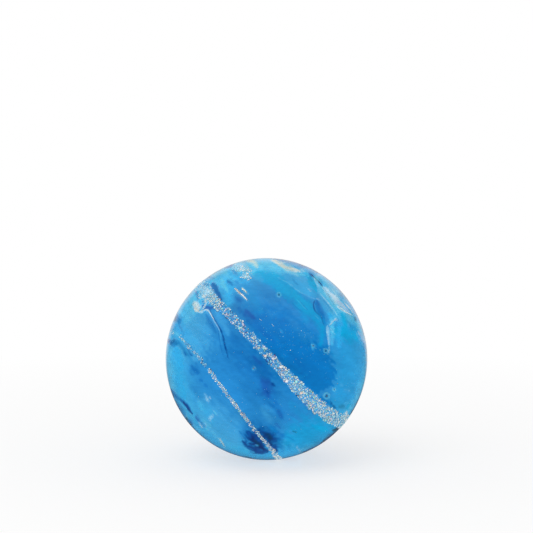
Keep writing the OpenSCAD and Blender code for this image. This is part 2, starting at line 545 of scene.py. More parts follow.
CLOUDS = [
    # beside and under the wide band, mostly painted shade: darker glass along its sides where its shadow
    # falls
    ("dusk", 0.65, 1.6, 1.0, (-3.4, 6.1), (-1.9, 4.8), (-0.6, 3.5), (0.9, 2.2)),
    ("dusk", 0.65, 2.2, 1.0, (-2.0, 0.2), (-0.4, -1.0), (0.2, -2.4)),
    ("purple", 0.6, 1.2, 1.0, (-1.5, 0.3), (-0.7, -0.7)),
    ("purple", 0.9, 2.4, 0.9, (-0.5, -2.6), (0.2, -4.4)),
    ("navy", 0.75, 0.6, 0.9, (0.6, -2.9), (0.95, -3.3)),
    ("navy", 0.45, 0.5, 1.0, (0.0, -3.9), (0.3, -4.3)),
    ("dusk", 0.5, 1.3, 1.0, (1.1, -5.2), (1.5, -6.3), (1.8, -7.4)),
    ("dusk", 0.55, 0.7, 1.0, (0.4, -5.6), (1.0, -5.9)),
    ("purple", 0.45, 0.6, 1.0, (1.4, -6.4), (1.8, -7.2)),
    ("purple", 0.45, 0.7, 1.0, (1.3, -8.0), (1.7, -8.5)),
    ("soft", 0.55, 2.2, 1.0, (-0.4, -6.2), (0.5, -7.6)),
    ("right", 0.6, 2.0, 1.0, (3.0, -5.6), (4.6, -7.2)),
    ("deep", 0.9, 1.4, 1.0, (6.9, -4.9), (8.0, -5.8)),
    ("ink", 0.45, 0.5, 0.9, (8.0, -5.3), (8.5, -6.1)),
    ("teal", 0.45, 0.9, 1.0, (9.0, -6.1), (9.6, -5.8)),
    ("deep", 0.95, 4.4, 0.2, (4.8, 1.4), (6.1, -0.6), (6.7, -1.9), (5.6, -2.9)),
    ("dusk", 0.3, 1.6, 1.0, (3.4, 0.2), (5.2, -2.0)),
    # upper left
    # painted sheen along the upper left limb
    ("pale rim", 0.55, 3.0, 1.0, (-4.9, 10.6), (-6.2, 9.6), (-7.6, 8.2), (-8.8, 5.8)),
    ("dusk", 0.9, 0.9, 0.5, (-6.75, 9.2), (-6.3, 8.6), (-5.65, 7.4)),
    ("top", 0.8, 0.9, 0.9, (-5.7, 9.9), (-5.4, 9.2), (-4.9, 8.4)),
    ("azure", 0.7, 1.6, 1.0, (-4.6, 10.8), (-3.6, 10.2), (-2.4, 9.5)),
    ("shade", 0.75, 0.6, 0.7, (-4.9, 9.6), (-4.5, 9.3), (-4.2, 9.1)),
    ("purple", 0.4, 0.4, 0.9, (-4.8, 9.45), (-4.5, 9.3)),
    ("shade", 0.8, 0.8, 0.8, (-5.3, 11.4), (-4.8, 11.5), (-4.4, 11.7)),
    ("shade", 0.55, 0.9, 0.9, (-4.2, 11.0), (-3.7, 10.6)),
    ("shade", 0.25, 0.6, 0.9, (-3.3, 10.1), (-2.9, 9.6)),
    ("shade", 0.45, 0.5, 0.9, (-3.9, 9.7), (-3.4, 9.3)),
    ("top", 0.8, 1.3, 0.9, (-6.7, 10.1), (-5.8, 10.8), (-5.1, 10.8)),
    ("right", 0.6, 0.7, 1.0, (-7.3, 10.1), (-6.5, 9.9)),
    ("dusk", 0.65, 1.2, 0.9, (-3.8, 7.6), (-3.1, 7.0)),
    ("azure", 0.6, 1.4, 1.0, (-5.1, 7.9), (-4.8, 7.0), (-4.3, 6.2)),
    ("purple", 0.75, 1.3, 0.9, (-2.5, 5.9), (-1.6, 5.0)),
    ("soft", 0.6, 1.4, 0.9, (-6.1, 5.9), (-5.4, 4.4), (-4.9, 3.0)),
    ("purple", 0.8, 0.9, 0.8, (-7.9, 6.6), (-7.4, 6.3), (-6.6, 6.4)),
    ("dusk", 0.55, 0.5, 0.9, (-8.65, 8.3), (-8.5, 7.4)),
    ("shade", 0.75, 1.2, 0.9, (-11.2, 5.5), (-10.7, 4.4)),
    ("azure", 0.6, 0.8, 1.0, (-11.7, 4.6), (-11.4, 3.6)),
    ("shade", 0.45, 0.5, 0.9, (-10.9, 4.3), (-10.4, 3.3), (-10.3, 2.6)),
    ("soft", 0.5, 0.5, 0.9, (-10.6, 4.2), (-10.2, 3.4)),
    ("top", 0.6, 0.9, 0.9, (-11.9, 3.3), (-11.2, 3.1), (-10.7, 2.7)),
    ("shade", 0.85, 1.1, 0.9, (-12.2, 2.2), (-11.6, 1.9), (-11.0, 1.8)),
    ("ink", 0.22, 0.5, 0.9, (-11.9, 1.7), (-11.4, 2.3)),
    ("azure", 0.5, 0.5, 1.0, (-11.1, 1.4), (-10.8, 0.8)),
    ("shade", 0.6, 0.9, 0.9, (-10.9, 2.1), (-10.3, 1.2), (-9.6, 0.4)),
    ("dusk", 0.75, 0.45, 0.9, (-10.4, 1.0), (-10.1, 0.5)),
    ("dusk", 0.75, 0.5, 0.9, (-9.85, 1.4), (-9.5, 0.8), (-9.2, 0.5)),
    ("teal", 0.35, 0.4, 0.9, (-10.9, 2.6), (-10.5, 2.4)),
    # lower left
    ("dusk", 0.75, 1.9, 1.0, (-9.3, -0.9), (-8.6, -1.6)),
    ("dusk", 0.55, 0.9, 1.0, (-9.2, -1.2), (-8.6, -1.7)),
    ("dusk", 0.6, 0.9, 1.0, (-8.3, -2.4), (-7.9, -2.7)),
    ("dusk", 0.6, 0.8, 1.0, (-7.7, -3.1), (-7.3, -3.4)),
    ("dusk", 0.3, 1.2, 1.0, (-9.4, -3.2), (-8.8, -4.2)),
    ("mid", 0.5, 1.6, 1.0, (-8.6, -3.6), (-8.4, -5.4)),
    ("pane", 0.65, 2.0, 1.0, (-8.3, -5.6), (-7.4, -6.6), (-6.8, -8.0)),
    ("shade", 0.8, 0.8, 0.8, (-11.9, -3.9), (-11.3, -4.6), (-10.6, -5.0), (-10.0, -5.5)),
    ("dusk", 0.95, 0.7, 0.8, (-10.7, -5.0), (-10.1, -5.4), (-9.7, -6.0), (-9.2, -6.8)),
    ("navy", 0.95, 0.55, 0.9, (-10.3, -5.25), (-9.9, -5.7), (-9.6, -6.3), (-9.2, -6.8)),
    ("shade", 0.45, 0.7, 1.0, (-11.0, -5.6), (-10.4, -6.4)),
    ("top", 0.55, 0.22, 0.9, (-10.2, -6.3), (-9.9, -6.8), (-9.6, -7.3)),
    ("top", 0.45, 0.3, 0.9, (-9.6, -6.5), (-9.3, -7.0), (-9.0, -7.4)),
    ("right", 0.6, 0.9, 1.0, (-10.6, -6.0), (-10.0, -7.0)),
    ("night", 0.7, 0.5, 0.9, (-9.85, -7.3), (-9.6, -7.7)),
    ("night", 0.85, 0.4, 0.9, (-9.6, -7.9), (-9.3, -8.35)),
    ("dusk", 0.7, 0.6, 0.9, (-9.4, -7.5), (-9.1, -8.1)),
    ("purple", 0.7, 0.7, 0.9, (-8.8, -7.1), (-8.4, -7.8)),
    ("dusk", 0.75, 0.5, 0.9, (-8.3, -7.8), (-7.9, -8.2), (-7.6, -8.6)),
    # the dark blot that the narrow band crosses
    ("dusk", 0.85, 4.6, 0.9, (-2.5, -9.4), (-0.6, -9.4), (1.0, -10.8)),
    ("dusk", 0.6, 2.0, 1.0, (0.6, -8.4), (2.0, -9.8)),
    ("navy", 0.95, 2.6, 0.7, (-2.2, -9.2), (-1.4, -10.1), (-0.5, -10.8)),
    ("navy", 0.9, 1.0, 0.8, (-2.9, -10.2), (-2.2, -10.9), (-1.0, -11.4), (0.1, -11.4)),
    ("navy", 0.75, 2.0, 0.9, (-0.7, -8.7), (0.3, -9.3), (0.8, -10.3), (1.1, -11.2)),
    ("ink", 0.85, 1.5, 0.9, (-2.0, -9.7), (-1.4, -10.4), (-0.5, -11.0)),
    ("ink", 0.65, 1.1, 0.9, (-0.2, -9.1), (0.2, -9.7), (0.6, -10.6)),
    ("night", 0.6, 0.8, 0.9, (-1.5, -10.0), (-0.9, -10.7)),
    ("night", 0.5, 0.7, 0.9, (0.2, -9.2), (0.6, -9.9)),
    ("purple", 0.55, 0.6, 0.9, (-2.3, -9.0), (-2.0, -9.8)),
    ("shade", 0.75, 1.1, 1.0, (1.5, -10.2), (2.0, -11.4)),
    ("purple", 0.5, 0.5, 0.9, (0.1, -8.6), (0.5, -8.9)),
    ("shade", 0.6, 0.9, 0.9, (0.4, -8.2), (1.2, -8.9)),
    ("mid", 0.6, 0.2, 1.0, (-3.2, -9.0), (-2.7, -9.7), (-2.1, -10.4)),
    ("soft", 0.5, 0.18, 1.0, (-3.1, -9.6), (-2.6, -10.2)),
    ("mid", 0.5, 0.18, 1.0, (-2.8, -8.9), (-2.2, -9.7)),
    ("mid", 0.55, 0.18, 1.0, (-3.0, -10.3), (-2.4, -10.9), (-1.8, -11.2)),
    ("soft", 0.75, 0.3, 0.9, (-1.4, -10.7), (-1.1, -10.85)),
    ("shade", 0.5, 0.25, 1.0, (-3.5, -8.9), (-3.0, -9.5)),
    ("azure", 0.6, 0.8, 1.0, (-3.0, -11.6), (-1.2, -12.1), (0.4, -12.2)),
    ("azure", 0.8, 1.2, 0.9, (-4.4, -11.4), (-3.2, -11.8), (-2.0, -12.1)),
    # lower right
    ("sea", 0.4, 1.0, 1.0, (4.0, -11.6), (6.4, -10.6)),
    ("bright cyan", 0.7, 1.1, 1.0, (5.8, -8.2), (6.8, -8.6), (7.6, -8.9)),
    ("teal", 0.75, 0.8, 0.9, (9.0, -8.6), (8.2, -9.4), (7.0, -10.2)),
    ("dusk", 0.6, 0.6, 0.9, (8.6, -9.1), (7.7, -9.9)),
    ("night", 0.85, 0.7, 0.9, (8.9, -8.55), (8.2, -8.8)),
    ("teal", 0.9, 0.4, 0.9, (3.15, -8.95), (3.75, -9.1)),
    ("shade", 0.45, 0.5, 1.0, (2.5, -9.6), (3.4, -10.2)),
    ("shade", 0.4, 0.5, 1.0, (2.7, -10.8), (3.1, -11.6)),
    # painted sheen along the lower right limb
    ("pale rim", 0.75, 1.2, 1.0, (11.2, -4.6), (10.5, -6.1), (9.9, -6.9)),
    ("bright cyan", 0.45, 0.6, 1.0, (10.3, -5.4), (9.9, -6.4)),
]

VEILS = [
    # froth under the clump of grains, and its creamy drip
    ("haze", 0.7, 2.1, 0.8, (-8.1, 8.6), (-7.4, 8.2), (-6.6, 7.4)),
    ("haze", 0.55, 0.9, 0.8, (-7.5, 8.6), (-7.0, 7.9)),
    ("milk", 0.6, 0.7, 0.9, (-7.3, 8.6), (-6.8, 8.1)),
    ("milk", 0.6, 0.6, 0.9, (-7.9, 8.0), (-7.6, 7.7)),
    ("shade", 0.65, 0.6, 0.9, (-8.0, 7.3), (-7.7, 6.9)),
    ("azure", 0.55, 0.4, 0.9, (-7.5, 7.6), (-7.1, 7.2)),
    ("shade", 0.45, 0.35, 0.9, (-7.1, 7.8), (-6.7, 7.5)),
    ("shade", 0.5, 0.5, 0.9, (-7.8, 9.3), (-7.2, 9.2)),
    ("haze", 0.5, 0.8, 0.9, (-6.5, 7.6), (-6.0, 7.1)),
    ("milk", 0.9, 1.3, 0.7, (-8.8, 6.9), (-8.6, 6.1)),
    ("milk", 0.75, 0.8, 0.8, (-8.8, 5.9), (-8.0, 5.8)),
    ("cream", 0.6, 0.6, 0.8, (-8.9, 6.2), (-8.5, 5.9)),
    ("haze", 0.7, 0.35, 0.8, (-8.0, 6.2), (-7.65, 6.7), (-7.45, 7.2)),
    # crown patches and the pale limb above them
    ("haze", 0.75, 1.2, 0.9, (-4.1, 11.3), (-3.0, 11.4), (-2.1, 11.0)),
    ("milk", 0.4, 0.6, 0.9, (-3.5, 11.1), (-2.4, 11.0)),
    ("haze", 0.75, 0.9, 0.9, (-2.9, 10.4), (-2.2, 10.1)),
    ("azure", 0.6, 0.3, 0.9, (-3.4, 10.7), (-2.7, 10.75), (-2.1, 10.6)),
    ("cream", 0.75, 0.9, 1.0, (-2.4, 12.2), (-1.7, 12.0), (-1.3, 11.4)),
    ("soft", 0.55, 1.2, 0.8, (-1.3, 10.4), (-0.4, 9.8)),
    # crease: a painted highlight along its ridge, between two dark lines of painted shade
    ("dusk", 0.5, 0.9, 1.0, (-7.5, 5.4), (-6.9, 4.4), (-6.3, 3.2)),
    ("navy", 0.85, 0.36, 0.9, (-7.1, 6.1), (-6.5, 5.1), (-6.0, 4.0), (-5.5, 2.8), (-5.1, 1.4), (-4.7, 0.1)),
    ("haze", 0.7, 0.42, 0.9, (-8.0, 5.8), (-7.6, 6.1), (-7.1, 5.8), (-6.6, 5.0), (-6.2, 4.2), (-5.9, 3.4)),
    ("soft", 0.6, 0.3, 0.9, (-5.9, 3.4), (-5.7, 2.6), (-5.6, 1.8)),
    ("dusk", 0.5, 0.25, 0.9, (-6.2, 4.0), (-5.9, 2.8), (-5.6, 1.6), (-5.4, 0.6)),
    ("dusk", 0.4, 0.25, 0.9, (-6.8, 4.6), (-6.4, 3.6)),
    # light round the two dashes of the upper left
    ("haze", 0.55, 0.55, 1.0, (-3.9, 8.7), (-3.1, 7.9), (-2.3, 7.2)),
    ("haze", 0.5, 0.5, 1.0, (-3.0, 8.8), (-2.3, 8.1)),
    # light smears of the lower left
    ("haze", 0.45, 1.0, 1.0, (-7.7, -4.4), (-7.1, -5.2)),
    ("haze", 0.8, 0.6, 1.0, (-7.5, -4.8), (-7.2, -5.45)),
    ("haze", 0.7, 0.35, 1.0, (-7.0, -4.7), (-6.85, -5.3)),
    ("top", 0.35, 1.0, 1.0, (-8.5, -5.0), (-8.0, -6.4)),
    ("haze", 0.85, 0.7, 1.0, (-7.0, -7.5), (-6.7, -7.1)),
    ("lilac", 0.45, 0.5, 1.0, (-7.3, -7.5), (-7.0, -7.8)),
    ("top", 0.7, 0.28, 0.9, (-6.5, -6.55), (-6.15, -7.0)),
    # painted sheen on the lower left limb
    ("pale rim", 0.6, 0.8, 0.9, (-8.8, -8.3), (-8.2, -8.9)),
    ("lilac", 0.6, 0.3, 0.9, (-8.4, -7.9), (-8.0, -8.5)),
    ("lilac", 0.55, 0.25, 0.9, (-7.8, -7.8), (-7.4, -8.4)),
    ("top", 0.6, 0.3, 0.9, (-7.6, -8.6), (-7.3, -8.9)),
    ("top", 0.55, 0.4, 0.9, (-7.1, -8.1), (-6.95, -8.5)),
    ("top", 0.4, 0.4, 1.0, (-6.8, -9.0), (-6.2, -9.6)),
    ("top", 0.4, 1.4, 1.0, (-7.9, -7.6), (-7.4, -8.6)),
    ("haze", 0.55, 0.5, 0.9, (-6.0, -9.8), (-5.5, -10.4), (-5.2, -11.0)),
    ("lilac", 0.6, 0.4, 0.9, (3.85, -10.9), (4.1, -11.6)),
    # pane: lighter glass between two straight lines, under the crown's cream lens, a highlight painted
    # along the limb
    ("pane", 0.95, 2.4, 0.4, (2.8, 10.2), (4.2, 9.4), (5.4, 8.4)),
    ("soft", 0.5, 1.4, 1.0, (3.2, 10.4), (4.4, 9.9), (5.2, 9.6)),
    ("pane", 0.7, 1.0, 0.6, (5.2, 8.6), (6.1, 7.8)),
    ("haze", 0.3, 0.22, 0.9, (1.5, 10.2), (2.8, 9.4), (4.0, 8.5), (5.0, 7.9), (6.0, 7.45)),
    ("shade", 0.4, 0.5, 0.9, (3.3, 9.9), (3.9, 9.2)),
    ("bright cyan", 0.85, 0.9, 0.7, (4.9, 10.7), (5.5, 9.5), (6.2, 8.4)),
    ("shade", 0.2, 0.3, 0.9, (5.1, 10.5), (5.5, 9.7)),
    ("lilac", 0.6, 0.35, 0.9, (5.2, 8.6), (5.6, 8.3)),
    ("top", 0.75, 1.0, 0.9, (2.4, 10.9), (3.6, 10.6), (4.7, 10.4)),
    ("pane", 0.7, 1.0, 0.8, (0.9, 12.4), (2.4, 12.1), (3.8, 11.6), (5.2, 10.9)),
    ("right", 0.85, 0.4, 0.9, (0.5, 12.5), (2.0, 12.3), (3.4, 12.0), (4.6, 11.6), (5.8, 11.0), (6.8, 10.4)),
    ("dusk", 0.45, 0.35, 0.9, (4.0, 11.7), (4.9, 11.3)),
    ("soft", 0.6, 0.5, 0.9, (3.4, 11.4), (4.0, 11.2)),
    # painted highlight: the cream lens along the crown's limb, in this stroke and the next four
    ("haze", 0.65, 0.9, 1.0, (0.5, 12.3), (1.8, 11.8), (3.0, 11.4), (4.2, 11.0)),
    ("cream", 0.8, 1.0, 0.9, (0.8, 12.2), (1.8, 11.8), (2.6, 11.4), (3.4, 11.15), (4.1, 10.95)),
    ("milk", 0.55, 0.45, 1.0, (2.6, 11.0), (3.6, 10.85), (4.4, 10.8)),
    ("milk", 0.6, 0.6, 0.9, (4.3, 11.2), (4.7, 10.9)),
    ("haze", 0.3, 1.2, 1.0, (2.6, 11.0), (3.8, 10.4)),
    ("cyan", 0.5, 2.0, 1.0, (3.9, 7.0), (4.7, 5.6), (5.0, 4.6)),
    # upper right: a fold with a dark hollow, under a pale patch and bright lines painted as a highlight
    ("pale rim", 0.6, 0.9, 0.9, (4.8, 11.2), (5.1, 10.4)),
    ("shade", 0.4, 0.6, 0.8, (5.3, 10.8), (5.9, 10.3)),
    ("dusk", 0.75, 0.32, 0.9, (5.3, 10.65), (5.65, 10.35), (5.95, 10.1)),
    ("top", 0.8, 2.2, 1.0, (6.2, 10.1), (7.6, 9.2), (8.8, 8.4)),
    ("right", 0.75, 0.6, 0.9, (6.5, 9.9), (6.75, 9.4), (6.9, 8.9)),
    ("sea", 0.7, 0.35, 0.9, (6.5, 9.95), (6.7, 9.5)),
    ("haze", 0.7, 0.5, 0.9, (6.2, 10.35), (6.6, 10.4), (7.1, 10.25)),
    ("haze", 0.6, 0.35, 0.9, (7.2, 9.95), (7.45, 9.8)),
    ("milk", 0.55, 0.3, 0.9, (5.95, 10.0), (6.0, 9.6)),
    ("haze", 0.7, 0.22, 0.9, (5.95, 9.9), (6.1, 9.3), (6.4, 8.8)),
    ("haze", 0.6, 0.2, 0.9, (6.2, 9.8), (6.3, 9.2), (6.7, 8.6)),
    ("top", 0.85, 2.6, 1.0, (6.8, 8.6), (8.2, 7.4), (9.6, 6.0)),
    ("haze", 0.9, 1.7, 1.0, (7.3, 8.8), (8.2, 8.0), (8.9, 7.2), (9.5, 6.6)),
    ("milk", 0.75, 1.3, 1.0, (8.1, 8.1), (8.7, 7.5), (9.2, 6.9)),
    ("milk", 0.5, 0.4, 1.0, (7.4, 8.9), (7.8, 8.4)),
    ("lilac", 0.75, 0.9, 0.8, (9.0, 7.1), (9.6, 6.6), (10.3, 6.0)),
    ("cream", 0.3, 0.5, 1.0, (9.1, 6.9), (9.9, 6.4)),
    ("haze", 0.5, 0.9, 1.0, (8.9, 7.0), (9.6, 6.4), (10.3, 5.8)),
    ("milk", 0.9, 0.34, 0.9, (8.9, 6.6), (9.5, 6.1), (10.2, 5.7), (10.7, 5.45)),
    ("haze", 0.6, 0.25, 0.9, (9.4, 7.5), (10.2, 6.7), (10.7, 5.8)),
    ("sea", 0.6, 1.0, 1.0, (9.4, 8.2), (10.4, 7.0)),
    ("shade", 0.35, 0.5, 1.0, (9.2, 8.1), (9.6, 7.6)),
    ("soft", 0.85, 1.8, 0.9, (6.6, 7.6), (7.6, 6.6), (8.3, 5.2)),
    ("top", 0.6, 1.1, 1.0, (7.6, 7.5), (8.3, 6.6), (8.9, 5.6)),
    ("dusk", 0.8, 1.1, 0.8, (6.25, 7.1), (6.45, 6.2), (7.0, 5.0)),
    ("deep", 0.9, 0.6, 0.8, (6.1, 6.9), (6.35, 6.1), (6.8, 5.3), (7.3, 4.3)),
    ("pane", 0.6, 0.5, 1.0, (6.7, 7.3), (7.1, 6.4), (7.5, 5.6)),
    ("navy", 0.85, 0.28, 0.9, (5.95, 7.2), (5.82, 6.8), (5.9, 6.3), (6.2, 5.7), (6.75, 5.1), (7.2, 4.1)),
    ("lilac", 0.5, 0.35, 0.9, (6.2, 7.5), (6.6, 7.3)),
    ("haze", 0.75, 0.22, 0.9, (6.7, 8.2), (7.3, 7.5), (8.0, 6.7), (8.6, 5.9), (8.95, 5.3)),
    ("shade", 0.35, 0.25, 0.9, (7.0, 7.4), (7.7, 6.6), (8.3, 5.8)),
    ("sea", 0.5, 0.5, 0.9, (7.9, 5.9), (8.5, 5.3)),
    ("azure", 0.8, 1.5, 1.0, (7.7, 5.5), (8.1, 4.7), (8.2, 3.8)),
    ("top", 0.7, 1.1, 1.0, (8.1, 4.9), (8.15, 4.2), (8.1, 3.4)),
    ("top", 0.55, 1.5, 1.0, (8.7, 5.2), (10.0, 5.0), (11.3, 4.4)),
    ("azure", 0.8, 1.3, 1.0, (9.0, 4.4), (9.1, 3.0), (9.1, 1.6)),
    ("haze", 0.75, 0.35, 0.9, (8.8, 5.0), (8.4, 4.75), (8.1, 4.45), (7.9, 4.1)),
    ("ring", 0.6, 1.0, 1.0, (10.0, 5.7), (10.7, 5.1)),
    ("lilac", 0.5, 0.5, 1.0, (8.6, 4.6), (8.9, 4.8)),
    ("cyan", 0.85, 2.0, 1.0, (4.9, 6.6), (6.0, 5.2), (6.8, 3.8), (6.7, 2.0)),
    ("mid", 0.6, 2.0, 1.0, (3.2, 4.6), (4.2, 3.4), (4.8, 2.2)),
    ("bright cyan", 0.9, 1.5, 1.0, (4.2, 6.9), (5.4, 6.8)),
    ("shade", 0.55, 0.3, 1.0, (3.2, 7.1), (3.9, 6.3), (4.5, 5.8)),
    ("shade", 0.5, 0.25, 1.0, (4.1, 7.0), (5.2, 6.1)),
    ("top", 0.4, 0.22, 1.0, (3.8, 7.2), (5.0, 6.2)),
    ("top", 0.4, 0.2, 1.0, (6.1, 5.3), (6.5, 4.9)),
    ("bright cyan", 0.7, 1.0, 1.0, (9.4, 5.6), (9.8, 4.2), (9.4, 3.0)),
    ("teal", 0.3, 0.6, 1.0, (9.9, 4.8), (10.4, 3.9)),
    ("sea", 0.4, 1.0, 1.0, (10.0, 5.2), (10.9, 4.4)),
    ("night", 0.45, 0.5, 0.9, (11.0, 5.2), (11.2, 4.6)),
    ("haze", 0.7, 0.6, 0.9, (7.65, 4.0), (7.75, 3.2), (7.85, 2.3), (7.85, 1.5)),
    ("milk", 0.45, 0.25, 0.9, (7.5, 3.9), (7.58, 3.0), (7.7, 2.0), (7.75, 1.3)),
    ("top", 0.65, 1.1, 1.0, (8.2, 3.6), (8.2, 2.6), (8.2, 1.6)),
    ("haze", 0.4, 0.22, 0.9, (7.9, 3.8), (8.3, 3.4), (8.7, 3.0)),
    ("pane", 0.4, 1.6, 1.0, (8.3, 1.6), (8.5, 0.2)),
    ("top", 0.8, 1.0, 0.8, (11.2, 4.6), (11.7, 3.6), (12.2, 2.2)),
    ("lilac", 0.65, 0.7, 0.8, (11.4, 3.4), (11.9, 2.7), (12.2, 2.0)),
    ("haze", 0.5, 0.2, 0.9, (11.1, 3.3), (11.5, 2.6), (12.0, 1.7), (12.35, 1.1)),
    ("top", 0.5, 0.5, 1.0, (5.7, 2.0), (5.8, 1.2)),
    ("cream", 0.45, 0.3, 0.9, (7.75, 1.3), (7.8, 0.9), (7.65, 0.6)),
    # painted glint at the wide band's lower end
    ("haze", 0.7, 0.6, 0.9, (9.5, -7.5), (9.8, -7.0), (9.95, -6.5)),
    ("soft", 0.6, 0.35, 1.0, (1.6, 3.8), (2.0, 3.3)),
    ("soft", 0.8, 0.7, 1.0, (8.3, -3.8), (8.6, -3.8)),
    ("soft", 0.6, 0.5, 1.0, (9.2, -3.2), (9.5, -3.5)),
    ("soft", 0.6, 0.8, 1.0, (9.8, -3.9), (10.3, -4.0)),
    ("soft", 0.6, 0.5, 1.0, (-1.6, -1.2), (-1.5, -1.3)),
]


def drawn_line(points, gap):
    """A smooth line through given points, as points no further apart than the gap."""
    p = np.asarray(points, float)
    ends = np.concatenate([[2 * p[0] - p[1]], p, [2 * p[-1] - p[-2]]])
    line = []
    for a, b, c, d in zip(ends, ends[1:], ends[2:], ends[3:]):
        n = max(2, math.ceil(np.linalg.norm(c - b) / gap))
        t = (np.arange(n) / n)[:, None]
        bend = (2 * a - 5 * b + 4 * c - d) * t**2 + (3 * b - 3 * c + d - a) * t**3
        line.append(b + 0.5 * ((c - a) * t + bend))
    return np.concatenate([*line, p[-1:]])


def stroke_mask(x, y, fray, width, softness, points):
    """1 within a stroke that narrows toward its ends, fading to 0 at its frayed edge."""
    line = drawn_line(points, width / 4)
    half = width / 2
    mask = np.zeros(len(x))
    low, high = line.min(0) - half, line.max(0) + half
    near = np.flatnonzero((x > low[0]) & (x < high[0]) & (y > low[1]) & (y < high[1]))
    reach = half * (1 - END_TAPER * np.abs(np.linspace(-1, 1, len(line))) ** 3)
    away = np.full(len(near), np.inf)
    for (px, py), r in zip(line, reach):
        away = np.minimum(away, np.hypot(x[near] - px, y[near] - py) / r)
    mask[near] = smooth((1 - (away + EDGE_FRAY * fray[near])) / softness)
    return mask


def wavered(dirs):
    """Places as seen, shifted a little this way and that, so that no stroke's edge is ruled."""
    x, y = FRONT.seen(dirs)
    slow, fast = Noise(seed=31), Noise(seed=32)
    broad = drawn_out(dirs, *WAVER_SIZE)
    fine = drawn_out(dirs, *RIPPLE_SIZE)
    x = x + WAVER * slow(broad) + RIPPLE * fast(fine)
    y = y + WAVER * slow(broad + ELSEWHERE) + RIPPLE * fast(fine + ELSEWHERE)
    return x, y


def frayed(dirs):
    """How far inward strokes fray at each place: fibres along the bands, and crumbs."""
    fibres = Noise(seed=33)(drawn_out(dirs, *FIBRE_SIZE))
    crumbs = Noise(seed=34)(dirs * BALL_R / CRUMB_SIZE)
    return FIBRES * fibres + CRUMBS * crumbs


def laid_over(look, tone, share):
    """The look with this share of a tone over it at each place."""
    return look + share[:, None] * (np.array(TONES[tone]) - look)


def plain_look(dirs, tone):
    return np.tile(np.array(TONES[tone], float), (len(dirs), 1))


def front_look(dirs):
    """How the front looks with white light behind it, from 0 to 255."""
    x, y = wavered(dirs)
    # painted sheen: lighter toward the face's outer edge, where the glass is seen thinner and mirrors the
    # studio
    rim = smooth((np.hypot(x, y) / BALL_R - RIM_SHEEN_START) / RIM_SHEEN_FADE)
    look = laid_over(plain_look(dirs, "mid"), "rim", rim)
    fray = frayed(dirs)
    for tone, strength, width, softness, *points in WASHES + CLOUDS + VEILS:
        mask = stroke_mask(x, y, fray, width, softness, points)
        look = laid_over(look, tone, strength * mask)
    x, y = FRONT.seen(dirs)
    # painted highlight: a pale ring round each bubble
    for across, up, _, radius, _ in BUBBLES:
        ring = np.abs(np.hypot(x - across, y - up) - HALO * radius) / (HALO_WIDTH * radius)
        look = laid_over(look, "ring", HALO_STRENGTH * smooth(HALO_REACH - ring))
    return banded(dirs, look)


def banded(dirs, look):
    """The look with the pale powder that lies between the grains of both bands."""
    for band in (WIDE_BAND, NARROW_BAND):
        look = laid_over(look, "mist", POWDER * band.cover(dirs))
    return look


SMEARS = [
    # tone, strength, size in mm along the bands and across them, how sparse
    ("mid", 0.4, 9.0, 4.5, 0.0),
    ("soft", 0.6, 7.0, 3.0, 0.1),
    ("dusk", 0.35, 6.0, 2.2, 0.18),
    ("bright cyan", 0.6, 5.0, 1.6, 0.25),
    ("top", 0.5, 4.2, 1.2, 0.35),
    ("dusk", 0.6, 3.6, 1.1, 0.45),
    ("haze", 0.6, 3.4, 0.9, 0.5),
]


def back_look(dirs):
    """How the hidden side looks: clear glass with smears drawn out along the bands."""
    look = plain_look(dirs, "side")
    for i, (tone, strength, along, across, sparse) in enumerate(SMEARS):
        cloud = Noise(seed=35 + i)(drawn_out(dirs, along, across))
        look = laid_over(look, tone, strength * smooth((cloud - sparse) / SMEAR_FADE))
    return banded(dirs, look)


def streaked(dirs):
    """How much lighter or darker the glass is at each place, drawn out along the bands."""
    wide = Noise(seed=51)(drawn_out(dirs, *STREAK_SIZE))
    thin = Noise(seed=52)(drawn_out(dirs, *HAIR_SIZE))
    return LIGHTNESS + STREAKS * wide + HAIRS * thin


def paint_skin(dirs):
    """The skin's tint and milkiness: the face that the photo shows, the plainer back, and its bare cap."""
    shown = smooth((dirs @ FRONT.toward - FACE_END) / FACE_FADE)[:, None]
    look = shown * front_look(dirs) + (1 - shown) * back_look(dirs)
    tint, milk = skin_for(np.clip(look * streaked(dirs)[:, None], *LOOK_ENDS))
    bare = smooth((dirs @ BACK.toward - CAP_EDGE) / CAP_FADE)
    return tint + bare[:, None] * (CLEAR - tint), milk * (1 - bare)


# ---- the glass ball

BUBBLE_TINT = (0.75, 0.95, 1.0)


def make_ball(material):
    dirs, faces = skin_mesh()
    tint, milk = paint_skin(dirs)
    solids = [(dirs * skin_radius(dirs)[:, None], faces)]
    normals, tints, milks = [skin_normals(dirs)], [tint], [milk]
    out, facets = facetted_ball(3, hollow=True)
    for across, up, below, radius, cloud in BUBBLES:
        centre = seen_under(FRONT.place(across, up), below + radius)
        solids.append((out * radius + centre, facets))
        normals.append(-out)
        tints.append(np.tile(BUBBLE_TINT, (len(out), 1)))
        milks.append(np.full(len(out), cloud))
    ball = to_object("glass_ball", *joined(solids), material, "blue_glass")
    ball.data.shade_smooth()
    ball.data.normals_split_custom_set_from_vertices(np.concatenate(normals).tolist())
    colour_attribute(ball.data, "tint", np.concatenate(tints))
    number_attribute(ball.data, "milk", np.concatenate(milks))
    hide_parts("marble")


# ---- crushed white glass

